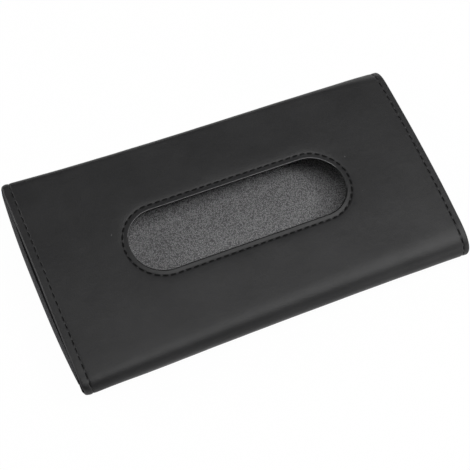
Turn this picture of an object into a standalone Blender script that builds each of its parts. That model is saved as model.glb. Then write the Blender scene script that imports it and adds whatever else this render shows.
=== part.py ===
"""Flat sleeve-shaped car tissue holder.

The sleeve lies on its back: X runs along its length, Y across its width and Z
up out of its front face. One leather sheet wraps the front and both rounded
long edges, and both short ends are open. The near long edge (-Y) carries a
short lip. A back flap swings about the far long edge (+Y) and closes over the
outside of the lip with thin disc magnets. Two elastic straps for a sun visor
are sewn across the flap.
"""

import math

import bmesh
import bpy
from mathutils import Matrix, Vector


# Overall size
LENGTH = 0.230
WIDTH = 0.122
HEIGHT = 0.020

# Sheet thicknesses
LEATHER = 0.0012
LINING = 0.0006
STRIP = 0.0012
STRAP = 0.0012
CLEARANCE = 0.0003

# Rounded long edges: how far each quarter of the fold reaches
FRONT_REACH = 0.011
UPPER_FOLD = 0.0088
NEAR_REACH = 0.006
FAR_REACH = 0.009
FOLD_STEPS = 8

# Slot in the front
SLOT_LENGTH = 0.1275
SLOT_WIDTH = 0.0363
SLOT_OFFSET = 0.0025
SLOT_RIM = 0.0033
SLOT_STEPS = 16
CUT_OVERRUN = 0.004

# Lip and flap
LIP_WIDTH = 0.037
FLAP_EDGE_INSET = 0.007
HINGE_SETBACK = 0.001
HINGE_GAP = 0.0003

# Stitch rows and the grooves that they sink into
ROW_INSET = 0.0045
ROW_END = 0.001
THREAD = 0.0002
THREAD_SINK = 0.00005
THREAD_GAP = 0.00015
GROOVE_FLARE = 0.0002

# Stiffening strips and magnets along the closure
STRIP_MARGIN = 0.0035
STRIP_WIDTH = 0.020
RAMP = 0.002
MAGNET_RADIUS = 0.005
MAGNET_THICKNESS = 0.001
MAGNET_INSET = 0.037
MAGNET_SIDES = 32

# Elastic visor straps
STRAP_WIDTH = 0.025
STRAP_SPREAD = 0.110
STRAP_END_INSET = 0.010
TACK_SEAT = 0.0075
TACK_LENGTH = 0.0045
TACK_MARGIN = 0.003
STRAP_SLOPE = 0.0015

# Places that follow from the sizes above
HALF_LENGTH = LENGTH / 2
HALF_WIDTH = WIDTH / 2
GROOVE_DEPTH = THREAD_SINK + 2 * THREAD + THREAD_GAP
GROOVE_FLOOR = THREAD + THREAD_GAP
GROOVE_MOUTH = GROOVE_FLOOR + GROOVE_FLARE
THREAD_DEPTH = THREAD_SINK + THREAD

FLAP_Z = STRAP + CLEARANCE
FLAP_STRIP_Z = FLAP_Z + LEATHER + CLEARANCE
LINING_LIFT = STRIP + CLEARANCE
LIP_Z = FLAP_STRIP_Z + LINING_LIFT + LINING + CLEARANCE
LIP_STRIP_Z = LIP_Z + LEATHER + CLEARANCE
FOLD_Z = HEIGHT - UPPER_FOLD

LIP_EDGE_Y = LIP_WIDTH - HALF_WIDTH
LIP_ROW_Y = LIP_EDGE_Y - ROW_INSET
LIP_STRIP_Y = LIP_ROW_Y - STRIP_MARGIN
FLAP_EDGE_Y = FLAP_EDGE_INSET - HALF_WIDTH
FLAP_ROW_Y = FLAP_EDGE_Y + ROW_INSET
FLAP_STRIP_Y = FLAP_ROW_Y + STRIP_MARGIN
HINGE_Y = HALF_WIDTH - FAR_REACH - HINGE_SETBACK
MAGNET_Y = (LIP_STRIP_Y + FLAP_STRIP_Y) / 2

END_ROW_X = HALF_LENGTH - ROW_INSET
STRIP_HALF = END_ROW_X - STRIP_MARGIN
MAGNET_X = STRIP_HALF - MAGNET_INSET
STRAP_NEAR_Y = FLAP_EDGE_Y + STRAP_END_INSET
STRAP_FAR_Y = HINGE_Y - STRAP_END_INSET

DOWN = Vector((0, -1))


def clear_scene():
    """Start from an empty scene."""
    for obj in list(bpy.data.objects):
        bpy.data.objects.remove(obj, do_unlink=True)


def new_collection(name):
    """Add a collection under the scene."""
    collection = bpy.data.collections.new(name)
    bpy.context.scene.collection.children.link(collection)
    return collection


def principled(name, colour, roughness, metallic=0.0):
    """Make a plain Principled material."""
    material = bpy.data.materials.new(name)
    material.use_nodes = True
    shader = material.node_tree.nodes["Principled BSDF"]
    shader.inputs["Base Color"].default_value = (*colour, 1.0)
    shader.inputs["Roughness"].default_value = roughness
    shader.inputs["Metallic"].default_value = metallic
    return material


def add_mesh(name, bm, collection, material=None):
    """Turn a bmesh into a named object with its faces pointing out."""
    bmesh.ops.recalc_face_normals(bm, faces=bm.faces)
    mesh = bpy.data.meshes.new(name)
    bm.to_mesh(mesh)
    bm.free()
    if material is not None:
        mesh.materials.append(material)
    obj = bpy.data.objects.new(name, mesh)
    collection.objects.link(obj)
    return obj


def loft(name, loops, collection, material=None, cyclic=False):
    """Join closed loops of equally many points into one solid.

    A cyclic loft closes on itself, and any other gets a cap at each end.
    """
    bm = bmesh.new()
    rings = [[bm.verts.new(point) for point in loop] for loop in loops]
    pairs = list(zip(rings, rings[1:]))
    if cyclic:
        pairs.append((rings[-1], rings[0]))
    for first, second in pairs:
        for i in range(len(first)):
            j = (i + 1) % len(first)
            bm.faces.new((first[i], first[j], second[j], second[i]))
    if not cyclic:
        bm.faces.new(reversed(rings[0]))
        bm.faces.new(rings[-1])
    return add_mesh(name, bm, collection, material)


def quarter(centre, reach, start, end):
    """Points of a quarter ellipse from one angle to another, with normals."""
    points = []
    for step in range(FOLD_STEPS + 1):
        angle = math.radians(start + (end - start) * step / FOLD_STEPS)
        point = Vector((centre[0] + reach[0] * math.cos(angle),
                        centre[1] + reach[1] * math.sin(angle)))
        normal = Vector((math.cos(angle) / reach[0], math.sin(angle) / reach[1]))
        points.append((point, normal.normalized()))
    return points


def folds():
    """Outer line of the sleeve from the lip's bend round to the hinge's bend."""
    near_y = NEAR_REACH - HALF_WIDTH
    front_y = HALF_WIDTH - FRONT_REACH
    far_y = HALF_WIDTH - FAR_REACH
    line = quarter((near_y, FOLD_Z), (NEAR_REACH, FOLD_Z - LIP_Z), 270, 180)
    line += quarter((-front_y, FOLD_Z), (FRONT_REACH, UPPER_FOLD), 180, 90)[1:]
    line += quarter((front_y, FOLD_Z), (FRONT_REACH, UPPER_FOLD), 90, 0)
    line += quarter((far_y, FOLD_Z), (FAR_REACH, FOLD_Z - FLAP_Z), 0, -90)[1:]
    return line


def groove_marks(row_y, towards):
    """Four points of a stitch groove across a level sheet, with their depths."""
    return [
        (row_y - towards * GROOVE_MOUTH, 0),
        (row_y - towards * GROOVE_FLOOR, GROOVE_DEPTH),
        (row_y + towards * GROOVE_FLOOR, GROOVE_DEPTH),
        (row_y + towards * GROOVE_MOUTH, 0),
    ]


def bump_marks(low_y, high_y, towards):
    """Four points of a lining's rise over a strip, with their shares of it."""
    start, end = (low_y, high_y) if towards > 0 else (high_y, low_y)
    return [
        (start - towards * (CLEARANCE + RAMP), 0),
        (start - towards * CLEARANCE, 1),
        (end + towards * CLEARANCE, 1),
        (end + towards * (CLEARANCE + RAMP), 0),
    ]


def sleeve_line(marks):
    """Section of the sleeve: its lip's edge, the marks on the lip, the folds
    and the hinge edge, as points, normals and values."""
    line = [(Vector((LIP_EDGE_Y, LIP_Z)), DOWN, 0)]
    line += [(Vector((y, LIP_Z)), DOWN, value) for y, value in marks]
    line += [(point, normal, 0) for point, normal in folds()]
    line.append((Vector((HINGE_Y + HINGE_GAP / 2, FLAP_Z)), DOWN, 0))
    return line


def flap_line(marks):
    """Section of the flap from its free edge to its hinge edge."""
    line = [(Vector((FLAP_EDGE_Y, FLAP_Z)), DOWN, 0)]
    line += [(Vector((y, FLAP_Z)), DOWN, value) for y, value in marks]
    line.append((Vector((HINGE_Y - HINGE_GAP / 2, FLAP_Z)), DOWN, 0))
    return line


def mirrored(stations):
    """Stations along the whole length, from those of its right half."""
    left = [(-x, value) for x, value in reversed(stations)]
    return left + stations


def leather_sheet(name, line, collection, material):
    """Leather of even thickness, with its stitch grooves pressed in."""
    stations = mirrored([
        (END_ROW_X - GROOVE_MOUTH, 0),
        (END_ROW_X - GROOVE_FLOOR, GROOVE_DEPTH),
        (END_ROW_X + GROOVE_FLOOR, GROOVE_DEPTH),
        (END_ROW_X + GROOVE_MOUTH, 0),
        (HALF_LENGTH, 0),
    ])
    loops = []
    for x, row_depth in stations:
        outer = [point - normal * max(depth, row_depth) for point, normal, depth in line]
        inner = [point - normal * LEATHER for point, normal, depth in line]
        loops.append([Vector((x, p.x, p.y)) for p in outer + inner[::-1]])
    return loft(name, loops, collection, material)


def lining_sheet(name, line, collection, material):
    """Lining close behind the leather, raised where a strip lies between."""
    stations = mirrored([
        (STRIP_HALF + CLEARANCE, 1),
        (STRIP_HALF + CLEARANCE + RAMP, 0),
        (HALF_LENGTH, 0),
    ])
    loops = []
    for x, raised in stations:
        outer = []
        inner = []
        for point, normal, share in line:
            depth = LEATHER + CLEARANCE + LINING_LIFT * share * raised
            outer.append(point - normal * depth)
            inner.append(point - normal * (depth + LINING))
        loops.append([Vector((x, p.x, p.y)) for p in outer + inner[::-1]])
    return loft(name, loops, collection, material)


def obround(outset):
    """Outline of the slot, set outwards, as points with outward directions."""
    radius = SLOT_WIDTH / 2 + outset
    half_run = (SLOT_LENGTH - SLOT_WIDTH) / 2
    outline = []
    for side, first in ((1, -90), (-1, 90)):
        for step in range(SLOT_STEPS + 1):
            angle = math.radians(first + 180 * step / SLOT_STEPS)
            x = side * half_run + radius * math.cos(angle)
            outline.append(Vector((x, SLOT_OFFSET + radius * math.sin(angle))))
    return outline


def slot_cutter(collection):
    """Prism through the front leather and lining."""
    levels = (HEIGHT + CUT_OVERRUN, HEIGHT - LEATHER - CLEARANCE - LINING - CUT_OVERRUN)
    loops = [[Vector((p.x, p.y, z)) for p in obround(0)] for z in levels]
    return loft("slot_cutter", loops, collection)


def groove_cutter(collection):
    """Ring that sinks the slot's stitch row into the leather."""
    inside = obround(SLOT_RIM - GROOVE_MOUTH)
    outside = obround(SLOT_RIM + GROOVE_MOUTH)
    top = HEIGHT + CUT_OVERRUN
    floor = HEIGHT - GROOVE_DEPTH
    loops = []
    for near, far in zip(inside, outside):
        loops.append([
            Vector((near.x, near.y, top)),
            Vector((near.x, near.y, floor)),
            Vector((far.x, far.y, floor)),
            Vector((far.x, far.y, top)),
        ])
    return loft("groove_cutter", loops, collection, cyclic=True)


def hide_cutter(cutter):
    """Keep a cutting solid out of the visible model."""
    cutter.hide_render = True
    cutter.display_type = 'WIRE'


def cut(obj, cutter):
    """Subtract one solid from an object."""
    modifier = obj.modifiers.new(cutter.name, 'BOOLEAN')
    modifier.operation = 'DIFFERENCE'
    modifier.solver = 'EXACT'
    modifier.object = cutter
    hide_cutter(cutter)


def disc(name, x, y, low, thickness, radius, collection, material=None):
    """Upright round disc standing on a height."""
    bm = bmesh.new()
    place = Matrix.Translation((x, y, low + thickness / 2))
    bmesh.ops.create_cone(bm, cap_ends=True, segments=MAGNET_SIDES, radius1=radius,
                          radius2=radius, depth=thickness, matrix=place)
    return add_mesh(name, bm, collection, material)


def box(name, low, high, collection, material=None):
    """Box between two corners."""
    bm = bmesh.new()
    size = Vector(high) - Vector(low)
    middle = (Vector(high) + Vector(low)) / 2
    place = Matrix.Translation(middle) @ Matrix.Diagonal((*size, 1))
    bmesh.ops.create_cube(bm, size=1, matrix=place)
    return add_mesh(name, bm, collection, material)


def thread(name, points, collection, material, cyclic=False):
    """Round thread along a row of points."""
    curve = bpy.data.curves.new(name, 'CURVE')
    curve.dimensions = '3D'
    curve.bevel_depth = THREAD
    curve.bevel_resolution = 2
    curve.use_fill_caps = True
    curve.resolution_u = 1
    curve.materials.append(material)
    spline = curve.splines.new('POLY')
    spline.points.add(len(points) - 1)
    for target, point in zip(spline.points, points):
        target.co = (*point, 1)
    spline.use_cyclic_u = cyclic
    obj = bpy.data.objects.new(name, curve)
    collection.objects.link(obj)
    return obj


def end_row(x):
    """Stitch row round the sleeve's section, close to one open end."""
    line = [(point, normal) for point, normal in folds()]
    line.insert(0, (Vector((LIP_EDGE_Y - ROW_END, LIP_Z)), DOWN))
    line[-1] = (Vector((HINGE_Y + HINGE_GAP / 2 + ROW_END, FLAP_Z)), DOWN)
    sunk = [point - normal * THREAD_DEPTH for point, normal in line]
    return [Vector((x, p.x, p.y)) for p in sunk]


def strip_with_magnets(label, near_y, low, parts, cutters, materials):
    """Stiffening strip between leather and lining, with a magnet at each side."""
    high_y = near_y + STRIP_WIDTH
    strip = box(label + "_strip", (-STRIP_HALF, near_y, low),
                (STRIP_HALF, high_y, low + STRIP), parts, materials["board"])
    pieces = [strip]
    for side, x in (("left", -MAGNET_X), ("right", MAGNET_X)):
        hole = disc(f"{label}_{side}_hole", x, MAGNET_Y, low - CUT_OVERRUN,
                    STRIP + 2 * CUT_OVERRUN, MAGNET_RADIUS + CLEARANCE, cutters)
        cut(strip, hole)
        rest = low + (STRIP - MAGNET_THICKNESS) / 2
        magnet = disc(f"{label}_magnet_{side}", x, MAGNET_Y, rest, MAGNET_THICKNESS,
                      MAGNET_RADIUS, parts, materials["nickel"])
        pieces += [magnet, hole]
    return pieces


def strap(name, x, collection, material):
    """Flat elastic strap, pressed thinner where its ends are sewn down."""
    seat = STRAP_NEAR_Y + TACK_SEAT
    far_seat = STRAP_FAR_Y - TACK_SEAT
    section = [
        Vector((STRAP_NEAR_Y, STRAP)),
        Vector((STRAP_NEAR_Y, GROOVE_DEPTH)),
        Vector((seat, GROOVE_DEPTH)),
        Vector((seat + STRAP_SLOPE, 0)),
        Vector((far_seat - STRAP_SLOPE, 0)),
        Vector((far_seat, GROOVE_DEPTH)),
        Vector((STRAP_FAR_Y, GROOVE_DEPTH)),
        Vector((STRAP_FAR_Y, STRAP)),
    ]
    sides = (x - STRAP_WIDTH / 2, x + STRAP_WIDTH / 2)
    loops = [[Vector((side, p.x, p.y)) for p in section] for side in sides]
    return loft(name, loops, collection, material)


def tack(name, x, middle_y, collection, material):
    """Box of stitching that holds one end of a strap."""
    half_x = STRAP_WIDTH / 2 - TACK_MARGIN
    half_y = TACK_LENGTH / 2
    corners = ((-half_x, -half_y), (half_x, -half_y), (half_x, half_y), (-half_x, half_y))
    points = [Vector((x + dx, middle_y + dy, THREAD_DEPTH)) for dx, dy in corners]
    return thread(name, points, collection, material, cyclic=True)


def build_sleeve(parts, cutters, materials):
    """Front, folds and lip, with their lining, strip, magnets and stitching."""
    cover_line = sleeve_line(groove_marks(LIP_ROW_Y, -1))
    cover = leather_sheet("front_cover", cover_line, parts, materials["leather"])
    strip_low_y = LIP_STRIP_Y - STRIP_WIDTH
    lining_line = sleeve_line(bump_marks(strip_low_y, LIP_STRIP_Y, -1))
    lining = lining_sheet("sleeve_lining", lining_line, parts, materials["lining"])
    prism = slot_cutter(cutters)
    cut(cover, prism)
    cut(lining, prism)
    cut(cover, groove_cutter(cutters))
    strip_with_magnets("lip", strip_low_y, LIP_STRIP_Z, parts, cutters, materials)

    row_z = HEIGHT - THREAD_DEPTH
    ring = [Vector((p.x, p.y, row_z)) for p in obround(SLOT_RIM)]
    thread("slot_stitching", ring, parts, materials["thread"], cyclic=True)
    thread("left_end_stitching", end_row(-END_ROW_X), parts, materials["thread"])
    thread("right_end_stitching", end_row(END_ROW_X), parts, materials["thread"])
    stop = END_ROW_X - 2 * THREAD - THREAD_GAP
    lip_row = [Vector((side * stop, LIP_ROW_Y, LIP_Z + THREAD_DEPTH)) for side in (-1, 1)]
    thread("lip_edge_stitching", lip_row, parts, materials["thread"])


def build_flap(parts, cutters, materials):
    """Back flap with its strip, magnets, stitching and visor straps."""
    cover_line = flap_line(groove_marks(FLAP_ROW_Y, 1))
    cover = leather_sheet("flap_cover", cover_line, parts, materials["leather"])
    strip_high_y = FLAP_STRIP_Y + STRIP_WIDTH
    lining_line = flap_line(bump_marks(FLAP_STRIP_Y, strip_high_y, 1))
    lining = lining_sheet("flap_lining", lining_line, parts, materials["lining"])
    pieces = [cover, lining]
    pieces += strip_with_magnets("flap", FLAP_STRIP_Y, FLAP_STRIP_Z, parts, cutters, materials)

    row_z = FLAP_Z + THREAD_DEPTH
    hinge_end = HINGE_Y - HINGE_GAP / 2 - ROW_END
    row = [
        Vector((-END_ROW_X, hinge_end, row_z)),
        Vector((-END_ROW_X, FLAP_ROW_Y, row_z)),
        Vector((END_ROW_X, FLAP_ROW_Y, row_z)),
        Vector((END_ROW_X, hinge_end, row_z)),
    ]
    pieces.append(thread("flap_stitching", row, parts, materials["thread"]))

    near_tack_y = STRAP_NEAR_Y + TACK_SEAT / 2
    far_tack_y = STRAP_FAR_Y - TACK_SEAT / 2
    for side, x in (("left", -STRAP_SPREAD / 2), ("right", STRAP_SPREAD / 2)):
        pieces.append(strap(f"visor_strap_{side}", x, parts, materials["elastic"]))
        for end, y in (("near", near_tack_y), ("far", far_tack_y)):
            name = f"strap_tack_{side}_{end}"
            pieces.append(tack(name, x, y, parts, materials["thread"]))
    return pieces


def hang_on_hinge(pieces, collection):
    """Put the flap's pieces on an empty at the hinge line."""
    hinge = bpy.data.objects.new("flap_hinge", None)
    hinge.location = (0, HINGE_Y, FLAP_Z)
    collection.objects.link(hinge)
    for piece in pieces:
        piece.data.transform(Matrix.Translation(-hinge.location))
        piece.parent = hinge


def build():
    """Build the whole tissue holder."""
    clear_scene()
    parts = new_collection("car_tissue_holder")
    cutters = new_collection("cutters")
    materials = {
        "leather": principled("black_leather", (0.030, 0.030, 0.031), 0.50),
        "lining": principled("grained_lining", (0.120, 0.120, 0.124), 0.80),
        "thread": principled("black_thread", (0.010, 0.010, 0.010), 0.60),
        "elastic": principled("black_elastic", (0.018, 0.018, 0.018), 0.85),
        "board": principled("grey_board", (0.300, 0.290, 0.270), 0.90),
        "nickel": principled("nickel_plate", (0.650, 0.640, 0.620), 0.25, 1.0),
    }
    build_sleeve(parts, cutters, materials)
    hang_on_hinge(build_flap(parts, cutters, materials), parts)


build()
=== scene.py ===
# %% [markdown]
# A car tissue holder is a flat sleeve of artificial leather. This lesson dresses its
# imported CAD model, piece by piece, so that it looks like the real sleeve. The CAD model
# is loaded first: it gives the main sizes, and its two bodies carry the new pieces.

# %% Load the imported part
import math

import bmesh
import bpy
from mathutils import Matrix, Vector, noise


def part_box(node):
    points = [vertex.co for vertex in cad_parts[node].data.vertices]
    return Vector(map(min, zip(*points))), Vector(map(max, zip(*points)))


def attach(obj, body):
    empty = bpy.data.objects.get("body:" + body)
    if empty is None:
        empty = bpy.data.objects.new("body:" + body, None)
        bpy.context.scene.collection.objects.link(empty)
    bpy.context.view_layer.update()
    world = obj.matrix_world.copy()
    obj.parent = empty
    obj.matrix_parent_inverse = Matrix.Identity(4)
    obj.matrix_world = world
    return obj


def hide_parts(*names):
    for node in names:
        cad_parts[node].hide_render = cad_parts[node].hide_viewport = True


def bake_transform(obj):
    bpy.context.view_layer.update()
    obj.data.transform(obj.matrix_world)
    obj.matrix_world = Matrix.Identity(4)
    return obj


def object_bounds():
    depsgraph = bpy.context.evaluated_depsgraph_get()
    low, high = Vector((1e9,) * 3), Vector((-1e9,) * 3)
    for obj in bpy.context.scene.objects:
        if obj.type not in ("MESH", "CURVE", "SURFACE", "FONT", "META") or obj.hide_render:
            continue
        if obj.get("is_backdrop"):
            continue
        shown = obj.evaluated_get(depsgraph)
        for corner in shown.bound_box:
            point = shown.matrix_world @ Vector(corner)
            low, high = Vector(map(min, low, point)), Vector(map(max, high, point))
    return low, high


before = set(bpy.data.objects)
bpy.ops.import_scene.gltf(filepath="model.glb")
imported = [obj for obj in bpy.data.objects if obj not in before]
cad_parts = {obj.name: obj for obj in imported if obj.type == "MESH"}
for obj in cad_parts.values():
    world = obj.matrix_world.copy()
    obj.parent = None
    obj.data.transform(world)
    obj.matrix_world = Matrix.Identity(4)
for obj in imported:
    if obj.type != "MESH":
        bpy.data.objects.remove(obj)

cad_low, cad_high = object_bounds()
print("CAD box, mm:", [round(1000 * side) for side in cad_high - cad_low])

# %% [markdown]
# The camera comes early, because everything else is judged through it. It looks down
# steeply at the near left corner and is turned a little about its own axis. Its long
# lens keeps the sleeve's edges nearly parallel.

# %% Camera
AZIMUTH = math.radians(-41.42)
ELEVATION = math.radians(64.39)
ROLL = math.radians(19.04)
CAMERA_AWAY = 0.71871
CAMERA_LEFT = 0.00059
CAMERA_DOWN = 0.0023
LENS = 98.86
SENSOR = 36

back = Vector((math.sin(AZIMUTH) * math.cos(ELEVATION),
               -math.cos(AZIMUTH) * math.cos(ELEVATION),
               math.sin(ELEVATION)))
level = Vector((0, 0, 1)).cross(back).normalized()
rise = back.cross(level)
right = level * math.cos(ROLL) + rise * math.sin(ROLL)
above = rise * math.cos(ROLL) - level * math.sin(ROLL)
stand = back * CAMERA_AWAY - right * CAMERA_LEFT - above * CAMERA_DOWN

camera_data = bpy.data.cameras.new("camera")
camera_data.lens = LENS
camera_data.sensor_width = SENSOR
camera = bpy.data.objects.new("camera", camera_data)
camera.matrix_world = (Matrix.Translation(stand)
                       @ Matrix((right, above, back)).transposed().to_4x4())
scene = bpy.context.scene
scene.collection.objects.link(camera)
scene.camera = camera
scene.view_settings.view_transform = "Standard"
print("camera stands at", [round(side, 3) for side in stand])

# %% [markdown]
# The main sizes come from the CAD nodes, so that the pieces fit even if the part is
# packed again. Only what a node's box can't tell is written as a number here.

# %% Sizes of the sleeve
MM = 0.001
HALF_LENGTH = cad_high.x
HALF_WIDTH = cad_high.y
HEIGHT = cad_high.z
flap_low, flap_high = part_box("flap_cover")
FLAP_Z = flap_low.z
FLAP_EDGE_Y = flap_low.y
LEATHER = flap_high.z - flap_low.z
LINING = 0.6 * MM
GLUE = 0.05 * MM
LINING_DEPTH = LEATHER + GLUE
LIP_MARGIN = 8 * MM
STRIP_DEPTH = 1.5 * MM
strip_low, strip_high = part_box("lip_strip")
LIP_EDGE_Y = strip_high.y + LIP_MARGIN
STACK = strip_low.z - STRIP_DEPTH - FLAP_Z
print("leather, mm:", round(LEATHER / MM, 2), "- lip above flap, mm:", round(STACK / MM, 2))

# %% [markdown]
# A smooth step suits soft shapes: it runs from 0 to 1 without a corner at either end. A
# mix goes from one value to another by a share.

# %% Two small helpers
def ease(start, end, value):
    """Smooth step from 0 at start to 1 at end."""
    share = min(max((value - start) / (end - start), 0), 1)
    return share * share * (3 - 2 * share)


def mix(first, second, share):
    """Value that lies a share of the way from first to second."""
    return first + (second - first) * share


# %% [markdown]
# The real sleeve isn't quite regular. Its left end is pinched into tight folds, and the
# back comes up towards the front there, least in its middle. Its right end has one broad
# round fold. Bending finished pieces would be hard to control, so one function says where
# the sleeve's outer face lies at any length x, and every piece is wrapped on it. Heights
# come first: the front has a slight crown, and sags a little along its near edge.

# %% Heights of the front and of the back
CROWN = 0.7 * MM
CROWN_REACH = 1.2 * HALF_LENGTH
SAG = 0.8 * MM
SAG_X = 0.55 * HALF_LENGTH
SAG_Y = 20 * MM
SHOULDER = 0.6 * MM
SHOULDER_Y = 44 * MM
STACK_AT_END = 2.2 * MM
STACK_X = 0.9 * HALF_LENGTH
BOW_REACH = 56 * MM
LEFT_RISE = (7.0 * MM, 9.0 * MM)
LEFT_RISE_X = -0.62 * HALF_LENGTH
RIGHT_RISE = (-0.4 * MM, 1.0 * MM)
RIGHT_RISE_X = 0.8 * HALF_LENGTH


def sag(x, y):
    """How far the front sags towards its near edge, most at the right corner."""
    shoulder = max((-y - SHOULDER_Y) / (HALF_WIDTH - SHOULDER_Y), 0) ** 2
    corner = ease(SAG_X, HALF_LENGTH, x) * ease(SAG_Y, HALF_WIDTH, -y)
    return SHOULDER * shoulder + SAG * corner


def front_height(x, y, flat_half):
    """Height of the slightly crowned front face."""
    across = min(abs(y) / flat_half, 1)
    lengthways = 1 - (x / CROWN_REACH) ** 2
    return HEIGHT + CROWN * lengthways * (1 - across * across) ** 2 - sag(x, y)


def flap_height(x, y):
    """Height of the back flap's outer face, bowed at the open ends."""
    at_left = 1 - ease(-HALF_LENGTH, LEFT_RISE_X, x)
    at_right = ease(RIGHT_RISE_X, HALF_LENGTH, x)
    out = min(abs(y) / BOW_REACH, 1)
    bow = 1.5 * out ** 2 - 0.5 * out ** 6
    return FLAP_Z + at_left * mix(*LEFT_RISE, bow) + at_right * mix(*RIGHT_RISE, bow)


def lip_height(x, y):
    """Height of the lip's outer face, which lies on the flap's lining."""
    near_end = ease(STACK_X, HALF_LENGTH, abs(x))
    return flap_height(x, y) + mix(STACK, STACK_AT_END, near_end)


print("flap at the left end, mm:", round(flap_height(-HALF_LENGTH, 0) / MM, 2))

# %% [markdown]
# The leather was cut as one flat sheet. Its second coordinate, s, runs from the lip's
# edge round the near fold, over the front, round the far fold and along the flap. The
# stretches have their lengths on the flat sheet, so that nothing is stretched much.

# %% Stretches of the flat sheet
FRONT_HALF = 36 * MM
LIP_END = 31 * MM
NEAR_APEX = LIP_END + 10 * MM
FRONT_START = NEAR_APEX + 29 * MM
FRONT_END = FRONT_START + 2 * FRONT_HALF
FAR_APEX = FRONT_END + 29 * MM
FLAP_START = FAR_APEX + 13 * MM
SHEET_END = FLAP_START + 109 * MM
print("flat leather sheet, mm:", round(2 * HALF_LENGTH / MM), "x", round(SHEET_END / MM))

# %% [markdown]
# Each long edge is an upper corner, which runs into the front, and a lower one, which
# runs into the back. A sheet bends less where it leaves a flat face than a circle does,
# so the upper corner is a quarter of a squarish oval, and the lower one of an ellipse.
# The far fold is pressed tighter than the near one, and both are tighter at the left end.
# A pair here is for the left end and the right one, in millimetres.

# %% Folds
SQUARENESS = 2.5
NEAR_ACROSS = (7.5, 16.0)
FAR_ACROSS = 4.5
FAR_WIDER = 8.0
FOLD_DOWN = (6.8, 9.8)
LOWER_ACROSS = (4.5, 7.5)


def fold_shape(x, far=False):
    """How far the upper fold reaches across and down, and the lower fold across."""
    share = (x + HALF_LENGTH) / (2 * HALF_LENGTH)
    across, down = mix(*NEAR_ACROSS, share), mix(*FOLD_DOWN, share) - SHOULDER / MM
    if far:
        across = FAR_ACROSS + FAR_WIDER * max(x / HALF_LENGTH, 0) ** 4
        down = mix(*FOLD_DOWN, share)
    return (across * MM, down * MM, mix(*LOWER_ACROSS, share) * MM)


def upper_fold(x, share, far=False):
    """From a fold's apex up and in to the front: distance across and height."""
    across, down, _ = fold_shape(x, far)
    flat_half = HALF_WIDTH - across
    arc = math.pi / 2 * math.sqrt((across ** 2 + down ** 2) / 2)
    run = share * (arc + flat_half - FRONT_HALF)
    if run < arc:
        turn = run / arc * math.pi / 2
        out, up = (part ** (2 / SQUARENESS) for part in (math.cos(turn), math.sin(turn)))
        return (flat_half + across * out, HEIGHT - down + down * up)
    y = flat_half - (run - arc)
    return (y, front_height(x, y, flat_half))


def lower_fold(x, share, base, far=False):
    """From the back's height out and up to a fold's apex."""
    _, down, across = fold_shape(x, far)
    turn = share * math.pi / 2
    rise = HEIGHT - down - base
    return (HALF_WIDTH - across + across * math.sin(turn), base + rise * (1 - math.cos(turn)))


# %% [markdown]
# Nothing pulls the sheet in at its ends, so the sleeve is widest there: the near edge
# spreads a little at both ends, the far edge at the left one. The right end stands out in
# its middle. The left end's corners are rounded off, its flap is a little longer than the
# front, and its lip shorter. The slot is cut a little askew, and its far right corner is
# pulled in. FAR_RIGHT_IN and the pairs like it are an amount and the share of the way out
# at which it sets in.

# %% Spread of the ends
NEAR_SPREAD = 1.1 * MM
FAR_SPREAD = 3.2 * MM
FAR_EDGE_IN = 1.15 * MM
FAR_RIGHT_IN = (0.15 * MM, 0.88)
FAR_LEFT_IN = (0.65 * MM, 0.978)
NEAR_LEFT_IN = (0.6 * MM, 0.972)
FRONT_IN = 0.15 * MM
FRONT_IN_STEP = (-0.15, 0.1)
FRONT_FAR_IN = (0.65 * MM, 0.9)
FRONT_NEAR_IN = (0.9 * MM, 0.955)
RIGHT_BULGE = 0.95 * MM
RIGHT_CORNERS_IN = 0.25 * MM
LIP_IN = 0.55 * MM
FLAP_OUT = 1.6 * MM
FLAP_CORNERS_IN = 0.7 * MM
RIGHT_FROM = 0.5
LEFT_FROM = 0.8
SIDES_FROM = 0.7
SLOT_TURN = 0.0052
TURN_ENDS_X = (0.6, 0.9)
TURN_ENDS_Y = (0.4, 0.6)
CORNER_PULL = 0.38 * MM
CORNER_X = 60 * MM
CORNER_Y = 18 * MM
PULL_REACH = 12 * MM


def setting_in(amount, start, where):
    """None of an amount before a start, and all of it at 1."""
    return amount * ease(start, 1, where)


def askew(x, along, out):
    """How far across a place of the front is moved, because the slot is askew."""
    return SLOT_TURN * x * (1 - ease(*TURN_ENDS_X, abs(along))) * (1 - ease(*TURN_ENDS_Y, out))


def spread(x, y, z, s):
    """Move a point of the regular sleeve to its real place."""
    along, out = x / HALF_LENGTH, min(abs(y) / HALF_WIDTH, 1)
    front = FRONT_IN * (2 * ease(*FRONT_IN_STEP, y / HALF_WIDTH) - 1)
    if y < 0:
        wider = -NEAR_SPREAD * along ** 2 + setting_in(*NEAR_LEFT_IN, -along)
        front += setting_in(*FRONT_NEAR_IN, out)
    else:
        wider = FAR_SPREAD * (0.5 - 0.5 * along) ** 4 - FAR_EDGE_IN
        wider -= setting_in(*FAR_RIGHT_IN, along)
        wider -= setting_in(*FAR_LEFT_IN, -along)
        front += setting_in(*FRONT_FAR_IN, out)
    inwards = mix(LIP_IN, front, ease(0.7 * LIP_END, LIP_END, s))
    flap = mix(FLAP_OUT, -FLAP_CORNERS_IN, out ** 3)
    longer = ease(RIGHT_FROM, 1, along) * mix(RIGHT_BULGE, -RIGHT_CORNERS_IN, out ** 2)
    longer += ease(LEFT_FROM, 1, -along) * mix(inwards, -flap, ease(FAR_APEX, FLAP_START, s))
    sideways = wider * ease(SIDES_FROM, 1, out)
    if FRONT_START < s < FRONT_END:
        pull = CORNER_PULL * math.exp(-(math.hypot(x - CORNER_X, y - CORNER_Y) / PULL_REACH) ** 2)
        longer -= pull
        sideways -= askew(x, along, out) + pull
    return Vector((x + longer, y + sideways, z))


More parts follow.
